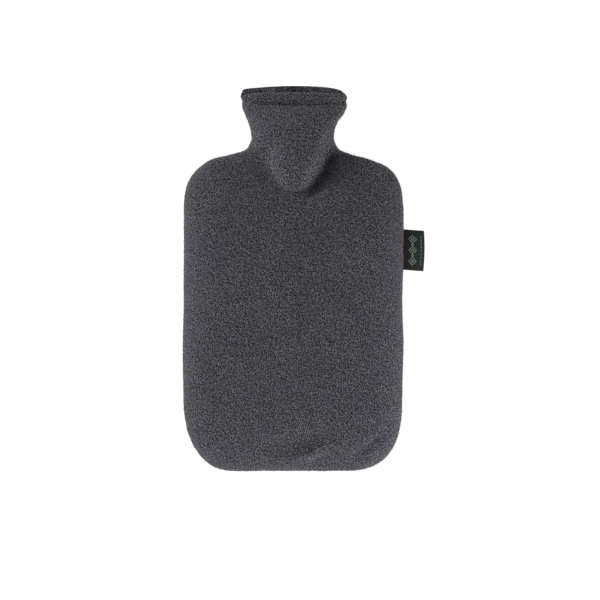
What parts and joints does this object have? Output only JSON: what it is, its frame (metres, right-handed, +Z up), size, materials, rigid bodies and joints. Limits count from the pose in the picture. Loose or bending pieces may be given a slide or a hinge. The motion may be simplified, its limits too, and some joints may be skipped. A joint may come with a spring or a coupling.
{
  "type": "hot water bottle cover",
  "caption": "Fleece cover for a hot water bottle, lying on its back and filled out, with a tall neck, a hemmed open mouth, round corners and a small side label.",
  "frame": {"origin": "on the rest plane, on the cover's centre line, midway along its length", "axes": "+X to the side with the label, +Y from the bottom seam to the mouth, +Z up through the front panel"},
  "size_m": [0.2176, 0.3485, 0.0447],
  "materials": {
    "front_fleece": "brushed polyester fleece, dark purple-grey, with a short curly pile",
    "back_fleece": "the same brushed fleece as the front",
    "label_ribbon": "woven satin ribbon, very dark green, with a plain woven motif"
  },
  "bodies": {
    "root": {"front_panel": "front_fleece", "back_panel": "back_fleece", "side_label": "label_ribbon"}
  },
  "joints": []
}
